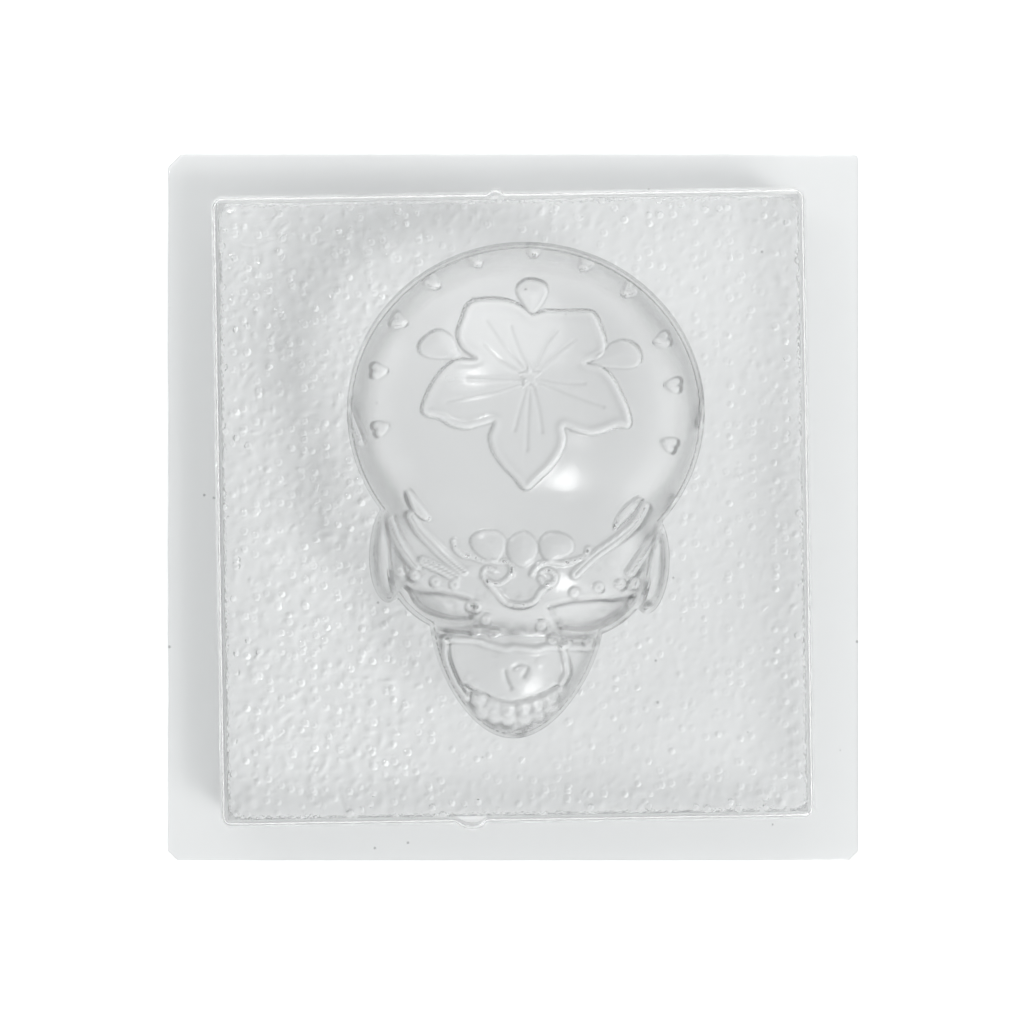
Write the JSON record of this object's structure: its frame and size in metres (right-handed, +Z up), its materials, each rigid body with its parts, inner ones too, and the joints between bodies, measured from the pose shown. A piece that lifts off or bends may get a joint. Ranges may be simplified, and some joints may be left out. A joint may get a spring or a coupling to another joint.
{
  "type": "sugar skull mould",
  "caption": "Clear thermoformed mould sheet: a flat rim round a raised hammered block, with a decorated skull standing out of it, filled from its open underside.",
  "frame": {"origin": "middle of the flange's underside, on the plane that it rests on", "axes": "+X to the skull's left hand side as seen from above (right in the picture), +Y towards the skull's crown, +Z up out of the flange to the raised side"},
  "size_m": [0.15, 0.1534, 0.0612],
  "materials": {
    "clear_sheet": "clear colourless sheet, glossy, slightly hazed by forming"
  },
  "bodies": {
    "root": {"flange": "clear_sheet", "tray_wall": "clear_sheet", "tray_floor": "clear_sheet", "cranium": "clear_sheet", "flower": "clear_sheet", "petal_drops": "clear_sheet", "crown_studs": "clear_sheet", "brow_scroll": "clear_sheet", "brow_bands": "clear_sheet", "eye_mask": "clear_sheet", "cheek_curl_left": "clear_sheet", "cheek_curl_right": "clear_sheet", "upper_jaw": "clear_sheet", "lower_jaw": "clear_sheet"}
  },
  "joints": []
}
